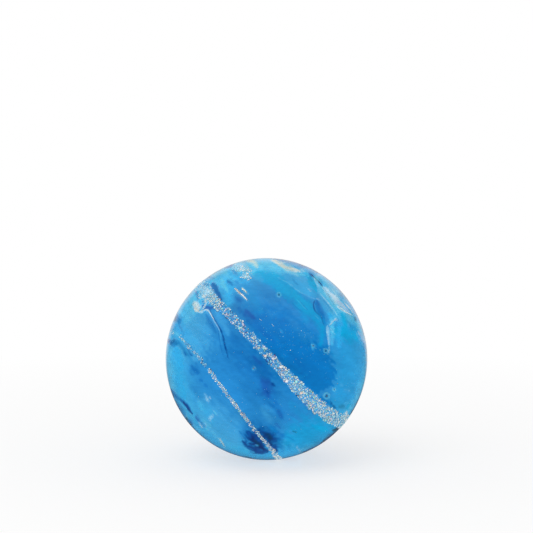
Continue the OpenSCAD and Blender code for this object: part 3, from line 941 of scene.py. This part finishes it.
GRAIN_TONES = np.array(
    [
        (0.80, 0.95, 0.97),
        (0.50, 0.82, 0.97),
        (0.24, 0.62, 0.93),
        (0.08, 0.42, 0.82),
        (0.86, 0.90, 0.74),
        (0.62, 0.70, 0.94),
        (0.36, 0.86, 0.88),
        (0.86, 0.66, 0.60),
    ]
)
BRIGHT_MIX = np.array([0.52, 0.29, 0.06, 0.02, 0.04, 0.03, 0.04, 0.00])
WHITE_MIX = np.array([0.36, 0.31, 0.12, 0.04, 0.05, 0.05, 0.06, 0.01])
BLUE_MIX = np.array([0.13, 0.25, 0.28, 0.15, 0.06, 0.05, 0.06, 0.02])
FAINT_MIX = np.array([0.06, 0.30, 0.38, 0.16, 0.03, 0.02, 0.05, 0.00])
CLUMP_MIX = np.array([0.20, 0.42, 0.20, 0.05, 0.04, 0.04, 0.05, 0.00])
CREAM_MIX = np.array([0.42, 0.16, 0.03, 0.00, 0.24, 0.02, 0.13, 0.00])
DUST_MIX = np.array([0.02, 0.12, 0.42, 0.36, 0.01, 0.01, 0.06, 0.00])

SINK = 0.22  # depth of a grain's middle, in grain sizes
PROUD, DUST_PROUD = 0.05, 0.01  # mm above the skin at most
BAND_GAP = 0.68  # least distance between grains, in grain sizes
BAND_REACH = 0.65  # how far off its course a grain may lie, in the band's greatest widths
CROWDING = 0.6  # 0.5 strews evenly over a disc, more crowds its middle
BAND_SPREAD, STREWN_SPREAD, STRAY_SPREAD = 0.28, 0.25, 0.3  # of the logarithm of sizes
STRETCH, JAG = (0.6, 1.35), 0.17  # of a grain's corners, in half grain sizes
TONE_SWAY, TONE_TOP = (0.74, 1.20), 0.98
PATCHES = [
    # points, width and size in mm, tries, gap, tone shares
    ([(-8.2, 9.1), (-7.5, 8.4), (-6.8, 7.4)], 1.8, 0.17, 420, 0.85, CLUMP_MIX),
    ([(-8.2, 7.9), (-7.8, 7.3)], 0.9, 0.15, 90, 0.85, CLUMP_MIX),
    ([(-6.5, 7.5), (-6.0, 7.0), (-5.5, 6.6)], 0.7, 0.24, 60, 0.85, CREAM_MIX),
    ([(-6.5, 6.6), (-6.0, 6.2)], 0.6, 0.24, 30, 0.85, CLUMP_MIX),
    ([(-8.85, 6.9), (-8.6, 6.1)], 0.8, 0.15, 220, 0.80, CREAM_MIX),
    ([(-8.1, 5.9), (-7.7, 6.6), (-7.5, 7.2)], 0.2, 0.12, 50, 0.85, CREAM_MIX),
    ([(-4.0, 11.3), (-3.0, 11.3), (-2.0, 10.9)], 0.8, 0.19, 170, 0.90, BRIGHT_MIX),
    ([(-3.7, 11.0), (-2.1, 11.0)], 0.4, 0.20, 60, 0.85, BRIGHT_MIX),
    ([(-2.9, 10.4), (-2.2, 10.0)], 0.8, 0.18, 90, 0.90, BRIGHT_MIX),
    ([(-8.8, 9.0), (-7.9, 9.4)], 0.7, 0.18, 40, 1.1, CREAM_MIX),
    ([(-3.8, 8.7), (-2.9, 7.8)], 0.3, 0.13, 40, 1.0, CREAM_MIX),
    ([(-3.1, 8.8), (-2.4, 8.2)], 0.3, 0.13, 34, 1.0, CREAM_MIX),
    ([(-11.8, 3.4), (-11.5, 3.0)], 0.5, 0.14, 16, 1.0, FAINT_MIX),
    # white grains at the wide band's lower end, under a painted glint
    ([(9.4, -7.4), (9.9, -6.9)], 0.7, 0.15, 60, 0.9, BRIGHT_MIX),
    ([(-5.9, -9.8), (-5.25, -10.8)], 0.3, 0.13, 24, 1.0, FAINT_MIX),
]
DUST = [
    ([(-1.0, 4.5), (2.5, 3.0), (4.5, 1.0), (6.5, -0.5)], 5.0, 0.07, 200, 2.5, DUST_MIX),
    ([(9.0, -3.5), (10.5, -4.2)], 3.0, 0.07, 50, 2.5, DUST_MIX),
    ([(-4.0, -2.0), (0.5, -6.5), (3.5, -7.5)], 5.0, 0.07, 70, 2.5, DUST_MIX),
    ([(-9.0, 4.0), (-4.0, 4.0)], 5.0, 0.06, 30, 2.5, DUST_MIX),
]
STRAY_SPECKS, SPECK_SIZE = 420, 0.07
WIDE_STREW = {"tries": 16000, "change": 8, "mixes": (BLUE_MIX, WHITE_MIX), "seeds": (11, 12)}
NARROW_STREW = {"tries": 8000, "change": -20, "mixes": (FAINT_MIX, BRIGHT_MIX), "seeds": (21, 24)}
BARE_CAP = 0.96  # cosine of the angle round the back's middle where no stray speck lies


def random_turns(rng, n):
    """Random rotations as 3 by 3 matrices."""
    a = unit(rng.normal(size=(n, 3)))
    b = unit(np.cross(a, rng.normal(size=(n, 3))))
    return np.stack([a, b, np.cross(a, b)], axis=1)


def spread(dirs, sizes, gap):
    """Indices of the grains that keep their distance from all kept before them."""
    cell = sizes.max() * gap
    cells, kept = {}, []
    points = dirs * BALL_R
    around = [(i, j, k) for i in (-1, 0, 1) for j in (-1, 0, 1) for k in (-1, 0, 1)]
    for i, p in enumerate(points):
        x, y, z = np.floor(p / cell).astype(int)
        near = [n for a, b, c in around for n in cells.get((x + a, y + b, z + c), ())]
        if near:
            need = gap * (sizes[i] + sizes[near]) / 2
            if (np.linalg.norm(points[near] - p, axis=1) < need).any():
                continue
        cells.setdefault((x, y, z), []).append(i)
        kept.append(i)
    return np.array(kept, int)


def make_grains(name, groups, material, seed, proud=PROUD):
    """Crushed grains half sunk in the skin. A group is directions, sizes in mm and its tone shares."""
    rng = np.random.default_rng(seed)
    ball, facets = facetted_ball(1)
    dirs = np.concatenate([g[0] for g in groups])
    sizes = np.concatenate([g[1] for g in groups])
    tones = np.concatenate([GRAIN_TONES[rng.choice(len(g[2]), len(g[0]), p=g[2])] for g in groups])
    n, corners = len(dirs), len(ball)
    shape = ball * rng.uniform(*STRETCH, (n, 1, 3)) + rng.normal(0, JAG, (n, corners, 3))
    shape = np.einsum("nij,nkj->nki", random_turns(rng, n), shape) * (sizes / 2)[:, None, None]
    verts = shape + (dirs * (BALL_R - SINK * sizes)[:, None])[:, None]
    r = np.linalg.norm(verts, axis=2, keepdims=True)
    verts = verts * np.minimum(1.0, (BALL_R + proud) / r)
    faces = (np.array(facets)[None] + (np.arange(n) * corners)[:, None, None]).reshape(-1, 3)
    grains = to_object(name, verts.reshape(-1, 3), faces.tolist(), material, "white_frit")
    tones = np.clip(tones * rng.uniform(*TONE_SWAY, (n, 1)), 0, TONE_TOP)
    colour_attribute(grains.data, "tone", np.repeat(tones, corners, axis=0))


def band_grains(band, tries, seed):
    """Directions, sizes and turns of a band's grains, strewn as densely as it covers the skin."""
    rng = np.random.default_rng(seed)
    turn = rng.uniform(band.turns[0], band.turns[-1], tries)
    side = rng.uniform(-BAND_REACH, BAND_REACH, tries) * band.widths.max()
    dirs = band.at(turn, side)
    sizes = np.interp(turn, band.turns, band.sizes) * np.exp(rng.normal(0, BAND_SPREAD, tries))
    keep = np.flatnonzero(rng.random(tries) < band.cover(dirs))
    keep = keep[spread(dirs[keep], sizes[keep], BAND_GAP)]
    return dirs[keep], sizes[keep], turn[keep]


def make_band(name, band, material, tries, change, mixes, seeds):
    """A band, whose grains have the first mix of tones up to the turn of the change, then the second."""
    dirs, sizes, turn = band_grains(band, tries, seeds[0])
    early = turn < change
    groups = [(dirs[part], sizes[part], mix) for part, mix in zip((early, ~early), mixes)]
    make_grains(name, groups, material, seeds[1])


def strewn_grains(points, width, size, tries, gap, seed):
    """Directions and sizes of grains strewn along a drawn line on the front."""
    rng = np.random.default_rng(seed)
    line = drawn_line(points, gap=0.1)
    spots = line[rng.integers(len(line), size=tries)]
    ways = unit(rng.normal(size=(tries, 2)))
    spots = spots + ways * (rng.random((tries, 1)) ** CROWDING) * width / 2
    dirs = np.array([FRONT.place(*spot) for spot in spots])
    sizes = size * np.exp(rng.normal(0, STREWN_SPREAD, tries))
    kept = spread(dirs, sizes, gap)
    return dirs[kept], sizes[kept]


def strewn_groups(patches, seed):
    return [(*strewn_grains(*patch, seed + i), mix) for i, (*patch, mix) in enumerate(patches)]


def make_frit_patches(material):
    """The clump where the wide band starts, its drip, the crown's patches and a few stray flakes."""
    make_grains("frit_patches", strewn_groups(PATCHES, seed=60), material, seed=59)


def make_dust(material):
    """Fine specks strewn over the skin, thickest beside the wide band."""
    groups = strewn_groups(DUST, seed=80)
    rng = np.random.default_rng(90)
    everywhere = unit(rng.normal(size=(STRAY_SPECKS, 3)))
    clear = everywhere @ BACK.toward < BARE_CAP
    sizes = SPECK_SIZE * np.exp(rng.normal(0, STRAY_SPREAD, clear.sum()))
    groups.append((everywhere[clear], sizes, DUST_MIX))
    make_grains("dust", groups, material, seed=91, proud=DUST_PROUD)


# ---- threads of white glass

THREADS = [
    # tone, width in mm, points in mm right of and above the middle
    ((0.78, 0.86, 0.86), 0.2, [(-4.0, 8.85), (-3.6, 8.4), (-3.0, 7.9), (-2.35, 7.25)]),
    ((0.88, 0.76, 0.58), 0.17, [(-3.85, 8.73), (-3.5, 8.38), (-3.1, 8.03)]),
    ((0.72, 0.8, 0.74), 0.18, [(-3.1, 8.85), (-2.85, 8.6), (-2.45, 8.2)]),
    # painted highlight along the crease's ridge
    ((0.6, 0.82, 0.95), 0.12, [(-7.95, 5.85), (-7.55, 6.12), (-7.2, 5.9), (-6.9, 5.45), (-6.5, 4.8)]),
    ((0.56, 0.74, 0.9), 0.08, [(8.8, 5.0), (8.4, 4.72), (8.1, 4.4), (7.9, 4.1)]),
    # painted highlight: the bright arc at the upper right, in this thread and the next
    ((0.8, 0.93, 0.97), 0.12, [(9.7, 6.95), (10.2, 6.45), (10.6, 5.95), (10.75, 5.5)]),
    ((0.76, 0.9, 0.97), 0.09, [(8.9, 6.6), (9.5, 6.1), (10.2, 5.65), (10.75, 5.45)]),
    # painted glint at the wide band's lower end, in this thread and the next
    ((0.8, 0.95, 0.98), 0.18, [(9.98, -6.4), (9.9, -6.9), (9.72, -7.5)]),
    ((0.62, 0.84, 0.95), 0.1, [(10.2, -7.1), (9.9, -7.0), (9.5, -7.2)]),
    ((0.56, 0.72, 0.7), 0.14, [(-5.85, -9.85), (-5.5, -10.35), (-5.25, -10.8)]),
    ((0.5, 0.76, 0.92), 0.08, [(-8.3, -8.15), (-7.9, -8.6)]),
    ((0.46, 0.74, 0.94), 0.07, [(0.6, 4.35), (0.95, 3.95)]),
    ((0.46, 0.7, 0.9), 0.07, [(-0.95, 5.0), (-0.55, 4.7)]),
]
THREAD_SINK = 0.25  # in widths
THREAD_SIDES = 6
THREAD_END = 0.02  # least square of its taper


def tapered_string(points, width):
    """The corners and faces of a thin string that lies in the skin and narrows toward its ends."""
    line = drawn_line(points, gap=0.08)
    middle = np.array([FRONT.place(*p) for p in line]) * (BALL_R - THREAD_SINK * width)
    out = unit(middle)
    side = unit(np.cross(unit(np.gradient(middle, axis=0)), out))
    taper = np.sqrt(np.maximum(1 - np.linspace(-1, 1, len(line)) ** 4, THREAD_END))
    reach = (width / 2 * taper)[:, None, None]
    angles = np.arange(THREAD_SIDES) * math.pi / (THREAD_SIDES / 2)
    ring = np.cos(angles)[None, :, None] * side[:, None] + np.sin(angles)[None, :, None] * out[:, None]
    faces = []
    for first in range(0, THREAD_SIDES * (len(line) - 1), THREAD_SIDES):
        for j in range(THREAD_SIDES):
            a, b = first + j, first + (j + 1) % THREAD_SIDES
            faces.append((a, b, b + THREAD_SIDES, a + THREAD_SIDES))
    last = THREAD_SIDES * (len(line) - 1)
    faces += [tuple(reversed(range(THREAD_SIDES))), tuple(range(last, last + THREAD_SIDES))]
    return (middle[:, None] + reach * ring).reshape(-1, 3), faces


def make_threads(material):
    strings = [tapered_string(points, width) for _, width, points in THREADS]
    tones = [np.tile(tone, (len(verts), 1)) for (tone, _, _), (verts, _) in zip(THREADS, strings)]
    threads = to_object("threads", *joined(strings), material, "white_frit")
    threads.data.shade_smooth()
    colour_attribute(threads.data, "tone", np.concatenate(tones))


# ---- materials. Noise scales are in features a metre, depths in metres.

MOTTLE_SCALE, MOTTLE_DRAWN_OUT = 3200, (0.3, 0.3, 1.0)
MOTTLE_SWAY = {"X": 0.30, "Y": 0.17, "Z": 0.13}  # of red, green and blue
MOTTLE_SPAN, FRIT_SPAN = (0.25, 0.75), (0.3, 0.7)  # of the noise that is used
WAVE_SCALE, WAVE_DEPTH, WAVE_STRENGTH = 500, 0.00006, 0.4
FRIT_CLOUD_SCALE, FRIT_SHADES = 9000, (0.72, 1.22)
FRIT_ROUGH_SCALE, FRIT_ROUGHNESS = 5000, (0.2, 0.5)
FRIT_GLOW, FRIT_GLOW_DEPTH = 0.7, 0.0002


class Graph:
    """The nodes of a material or of the world, and short ways to add to them."""

    def __init__(self, owner):
        owner.use_nodes = True
        self.nodes, self.links = owner.node_tree.nodes, owner.node_tree.links

    def feed(self, node, inputs):
        """Gives a node's inputs their values, or links them to the sockets given."""
        for name, value in inputs.items():
            if isinstance(value, bpy.types.NodeSocket):
                self.links.new(value, node.inputs[name])
            else:
                node.inputs[name].default_value = value
        return node

    def add(self, kind, inputs=None):
        return self.feed(self.nodes.new("ShaderNode" + kind), inputs or {})

    def attribute(self, name, output):
        node = self.add("Attribute")
        node.attribute_name = name
        return node.outputs[output]

    def noise(self, place, scale, detail=4.0, roughness=0.55):
        inputs = {"Vector": place, "Scale": scale, "Detail": detail, "Roughness": roughness}
        return self.add("TexNoise", inputs).outputs["Fac"]

    def map_range(self, value, low, high, to_low, to_high, curve="LINEAR"):
        node = self.add("MapRange")
        node.interpolation_type = curve
        ends = {"From Min": low, "From Max": high, "To Min": to_low, "To Max": to_high}
        return self.feed(node, {"Value": value, **ends}).outputs["Result"]

    def math(self, operation, a, b):
        node = self.add("Math")
        node.operation = operation
        return self.feed(node, {0: a, 1: b}).outputs[0]

    def vector_math(self, operation, inputs, output="Vector"):
        node = self.add("VectorMath")
        node.operation = operation
        return self.feed(node, inputs).outputs[output]

    def between(self, share, low, high):
        """A number that goes from low to high as the share goes from 0 to 1."""
        step = self.math("SUBTRACT", high, low)
        return self.math("ADD", low, self.math("MULTIPLY", share, step))


def new_material(name):
    """A material, its graph, its plain shader and its output."""
    mat = bpy.data.materials.new(name)
    graph = Graph(mat)
    return mat, graph, graph.nodes["Principled BSDF"], graph.nodes["Material Output"]


def absorption(graph):
    """The blue of the glass by depth."""
    lost = LOST / (2 * BALL_R * MM)
    density = lost.max() / 0.95  # any share under 1 gives the same glass
    inputs = {"Color": (*(1 - lost / density), 1.0), "Density": density}
    return graph.add("VolumeAbsorption", inputs).outputs["Volume"]


def glass_material():
    """Clear blue glass: colour by depth, its skin painted, mottled finely and a little wavy."""
    mat, graph, shader, out = new_material("blue_glass")
    place = graph.add("TexCoord").outputs["Object"]
    along_bands = Vector(WIDE_BAND.axis).to_track_quat("Z", "X").inverted().to_euler()
    lay = {"Vector": place, "Rotation": along_bands, "Scale": MOTTLE_DRAWN_OUT}
    laid = graph.add("Mapping", lay).outputs["Vector"]
    mottle = graph.noise(laid, MOTTLE_SCALE, detail=5.0, roughness=0.6)
    sways = MOTTLE_SWAY.items()
    shades = {c: graph.map_range(mottle, *MOTTLE_SPAN, 1 - sway, 1 + sway) for c, sway in sways}
    shade = graph.add("CombineXYZ", shades).outputs["Vector"]
    wave = graph.noise(place, WAVE_SCALE, detail=2.0)
    bump = {"Height": wave, "Distance": WAVE_DEPTH, "Strength": WAVE_STRENGTH}
    inputs = {
        "Base Color": graph.vector_math("MULTIPLY", {0: graph.attribute("tint", "Color"), 1: shade}),
        "Transmission Weight": graph.math("SUBTRACT", 1.0, graph.attribute("milk", "Fac")),
        "Normal": graph.add("Bump", bump).outputs["Normal"],
        "IOR": BEND,
        "Roughness": 0.0,
    }
    graph.feed(shader, inputs)
    graph.feed(out, {"Volume": absorption(graph)})
    return mat


def frit_material():
    """Crushed white glass: satin grains, each of its own tone, with bright facets."""
    mat, graph, shader, _ = new_material("white_frit")
    place = graph.add("TexCoord").outputs["Object"]
    shade = graph.map_range(graph.noise(place, FRIT_CLOUD_SCALE), *FRIT_SPAN, *FRIT_SHADES)
    rough = graph.noise(place, FRIT_ROUGH_SCALE, detail=2.0)
    tone = {0: graph.attribute("tone", "Color"), "Scale": shade}
    inputs = {
        "Base Color": graph.vector_math("SCALE", tone),
        "Roughness": graph.map_range(rough, *FRIT_SPAN, *FRIT_ROUGHNESS),
        "Subsurface Weight": FRIT_GLOW,
        "Subsurface Radius": (1.0, 1.0, 1.0),
        "Subsurface Scale": FRIT_GLOW_DEPTH,
    }
    graph.feed(shader, inputs)
    return mat


# ---- stage

DIM, OVERHEAD, FAR_END = 0.10, 0.30, 0.60  # levels of the mirrored studio
OVERHEAD_SPAN, FAR_SPAN = (0.3, 1.0), (0.80, 0.95)  # of a direction's Z and Y, where they rise
SKY, TABLE = 0.80, 0.88  # levels of the light that falls on plain surfaces
TABLE_COLOUR = (0.95, 0.95, 0.95, 1)
TABLE_R, TABLE_FADE = 1.6, (0.030, 0.10)  # metres from the ball's middle
TABLE_GLOW = 0.60  # share of its own glow in how the near table looks
LAMPS = {
    # place in metres, size in metres, power in watts
    "key": ((-0.20, -0.20, 0.45), 0.40, 0.70),
    "fill": ((0.12, -0.50, 0.10), 0.35, 0.35),
}


def ray_kinds(graph):
    """1 for a ray that came through the glass, and 1 for one that only a surface mirrored."""
    path = graph.add("LightPath").outputs
    through = path["Is Transmission Ray"]
    outside = graph.math("SUBTRACT", 1.0, through)
    return through, graph.math("MULTIPLY", path["Is Glossy Ray"], outside)


def studio_level(graph, direction):
    """How bright the studio is in a direction: dim, lighter overhead and behind the ball."""
    split = graph.add("SeparateXYZ", {0: direction}).outputs
    top = graph.map_range(split["Z"], *OVERHEAD_SPAN, 0.0, OVERHEAD, "SMOOTHSTEP")
    far = graph.map_range(split["Y"], *FAR_SPAN, 0.0, FAR_END, "SMOOTHSTEP")
    return graph.math("ADD", DIM, graph.math("ADD", top, far))


def table_material():
    """White table with the ball's shadow, whose far part glows at the background's own level."""
    mat, graph, shader, out = new_material("table_white")
    graph.feed(shader, {"Base Color": TABLE_COLOUR, "Roughness": 0.8, "Specular IOR Level": 0.2})
    place = graph.add("TexCoord").outputs["Object"]
    path = graph.add("LightPath").outputs
    mirrored = ray_kinds(graph)[1]
    studio = studio_level(graph, graph.vector_math("NORMALIZE", {0: place}))
    level = graph.between(mirrored, 1.0, studio)
    level = graph.between(path["Is Diffuse Ray"], level, TABLE)
    glow = graph.add("Emission", {"Strength": level}).outputs["Emission"]
    away = graph.vector_math("LENGTH", {0: place}, "Value")
    far = graph.map_range(away, *TABLE_FADE, TABLE_GLOW, 1.0)
    unseen = graph.math("SUBTRACT", 1.0, path["Is Camera Ray"])
    share = graph.math("MAXIMUM", far, unseen)
    mix = graph.add("MixShader", {"Fac": share, 1: shader.outputs["BSDF"], 2: glow})
    graph.feed(out, {"Surface": mix.outputs["Shader"]})
    return mat


def make_floor():
    bm = bmesh.new()
    bmesh.ops.create_circle(bm, cap_ends=True, segments=96, radius=TABLE_R)
    bmesh.ops.translate(bm, verts=bm.verts, vec=(0, 0, -BALL_R * MM))
    mesh = bpy.data.meshes.new("floor")
    bm.to_mesh(mesh)
    bm.free()
    mesh.materials.append(table_material())
    floor = bpy.data.objects.new("floor", mesh)
    bpy.context.scene.collection.objects.link(floor)


def make_world():
    """White to the camera and through the glass; a soft studio to reflections and plain surfaces."""
    world = bpy.data.worlds.new("studio")
    bpy.context.scene.world = world
    graph = Graph(world)
    path = graph.add("LightPath").outputs
    through, mirrored = ray_kinds(graph)
    studio = studio_level(graph, graph.add("TexCoord").outputs["Generated"])
    clear = graph.math("MAXIMUM", path["Is Camera Ray"], through)
    glossy = graph.math("MULTIPLY", mirrored, studio)
    soft = graph.math("MULTIPLY", path["Is Diffuse Ray"], SKY)
    level = graph.math("ADD", clear, graph.math("ADD", glossy, soft))
    graph.feed(graph.nodes["Background"], {"Color": (1, 1, 1, 1), "Strength": level})


def make_lamp(name, place, size, power):
    """A soft square lamp that faces the ball and isn't seen in it or through it."""
    light = bpy.data.lights.new(name, "AREA")
    light.shape = "SQUARE"
    light.size = size
    light.energy = power
    lamp = bpy.data.objects.new(name, light)
    lamp.location = place
    lamp.rotation_mode = "QUATERNION"
    lamp.rotation_quaternion = (-Vector(place)).to_track_quat("-Z", "Y")
    lamp.visible_glossy = False
    lamp.visible_transmission = False
    bpy.context.scene.collection.objects.link(lamp)


def make_camera():
    lens = bpy.data.cameras.new("camera")
    lens.lens = LENS
    lens.sensor_width = SENSOR
    camera = bpy.data.objects.new("camera", lens)
    camera.location = FRONT.toward * EYE * MM
    look = math.atan(BALL_DROP * SENSOR / LENS)
    aim = -FRONT.toward * math.cos(look) + FRONT.up * math.sin(look)
    camera.rotation_mode = "QUATERNION"
    camera.rotation_quaternion = Vector(aim).to_track_quat("-Z", "Y")
    bpy.context.scene.collection.objects.link(camera)
    bpy.context.scene.camera = camera


def main():
    bpy.context.scene.view_settings.view_transform = "Standard"
    make_camera()
    make_world()
    make_floor()
    for name, (place, size, power) in LAMPS.items():
        make_lamp(name, place, size, power)
    make_ball(glass_material())
    frit = frit_material()
    make_band("wide_band", WIDE_BAND, frit, **WIDE_STREW)
    make_band("narrow_band", NARROW_BAND, frit, **NARROW_STREW)
    make_frit_patches(frit)
    make_dust(frit)
    make_threads(frit)


main()
